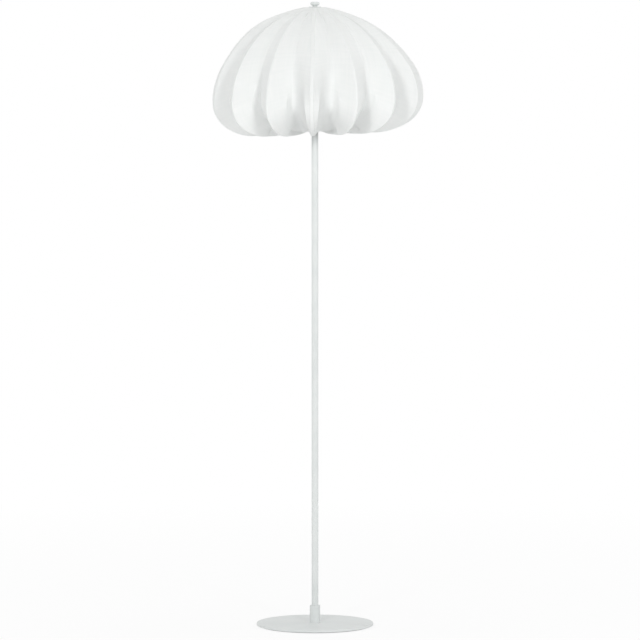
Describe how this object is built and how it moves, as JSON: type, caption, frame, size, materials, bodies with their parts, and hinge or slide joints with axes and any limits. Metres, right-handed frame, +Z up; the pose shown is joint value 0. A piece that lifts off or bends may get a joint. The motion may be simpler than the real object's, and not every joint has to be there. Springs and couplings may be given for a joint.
{
  "type": "floor lamp",
  "caption": "Floor lamp with a finned mushroom-shaped fabric shade on a slim round pole and a flat disc base.",
  "frame": {"origin": "centre of the base's underside, on the floor", "axes": "+Z up along the pole, -Y to the front, where the shade's seam is"},
  "size_m": [0.5155, 0.5142, 1.4958],
  "materials": {
    "powder_coat": "white powder coat, fine satin",
    "foam_pad": "closed-cell foam, matt",
    "zinc_steel": "zinc plated",
    "white_rubber": "moulded, matt",
    "brass": "satin",
    "holder_plastic": "moulded, semi-gloss",
    "ceramic": "unglazed",
    "bulb_cap": "pressed, bright",
    "bulb_insulator": "black glass-like",
    "opal_glass": "opal, smooth",
    "shade_fabric": "white plain weave, matt",
    "rib_steel": "white lacquered spring steel"
  },
  "bodies": {
    "stand": {"base_pad": "foam_pad", "base_plate": "powder_coat", "base_screw": "zinc_steel", "base_collar": "powder_coat", "cable_grommet": "white_rubber", "pole_set_screw": "zinc_steel", "lower_pole": "powder_coat", "lower_pole_insert": "zinc_steel", "pole_joint_nipple": "zinc_steel", "upper_pole_insert": "zinc_steel", "upper_pole": "powder_coat", "pole_top_plug": "zinc_steel", "holder_nipple": "zinc_steel", "harp_saddle": "zinc_steel", "saddle_nut": "zinc_steel", "harp_feet": "brass", "harp": "brass", "harp_top_stud": "brass", "holder_cap": "holder_plastic", "holder_cap_screw": "zinc_steel", "holder_insulator": "ceramic", "holder_centre_contact": "brass", "holder_thread_shell": "brass", "holder_shell": "holder_plastic"},
    "shade": {"shade_cloth": "shade_fabric", "shade_hub": "rib_steel", "seam_rib": "rib_steel", "shade_rib_01": "rib_steel", "shade_rib_02": "rib_steel", "shade_rib_03": "rib_steel", "shade_rib_04": "rib_steel", "shade_rib_05": "rib_steel", "shade_rib_06": "rib_steel", "shade_rib_07": "rib_steel", "shade_rib_08": "rib_steel", "shade_rib_09": "rib_steel", "shade_rib_10": "rib_steel", "shade_rib_11": "rib_steel", "shade_rib_12": "rib_steel", "shade_rib_13": "rib_steel", "shade_rib_14": "rib_steel", "mouth_ring": "rib_steel", "clamp_washer": "powder_coat"},
    "finial": {"finial": "powder_coat", "finial_insert": "brass"},
    "bulb": {"bulb_glass": "opal_glass", "bulb_screw_cap": "bulb_cap", "bulb_insulator": "bulb_insulator", "bulb_contact": "bulb_cap"},
    "harp_sleeve_left": {"harp_sleeve_left": "brass"},
    "harp_sleeve_right": {"harp_sleeve_right": "brass"}
  },
  "joints": [
    {"name": "shade_turn", "type": "hinge", "parent": "stand", "child": "shade", "pos_m": [0, 0, 1.4772], "axis": [0, 0, 1], "continuous": true},
    {"name": "finial_unscrew", "type": "slide", "parent": "stand", "child": "finial", "axis": [0, 0, 1], "range_m": [0, 0.012]},
    {"name": "bulb_unscrew", "type": "slide", "parent": "stand", "child": "bulb", "axis": [0, 0, 1], "range_m": [0, 0.026]},
    {"name": "harp_sleeve_left_lift", "type": "slide", "parent": "stand", "child": "harp_sleeve_left", "axis": [0, 0, 1], "range_m": [0, 0.015]},
    {"name": "harp_sleeve_right_lift", "type": "slide", "parent": "stand", "child": "harp_sleeve_right", "axis": [0, 0, 1], "range_m": [0, 0.015]}
  ]
}
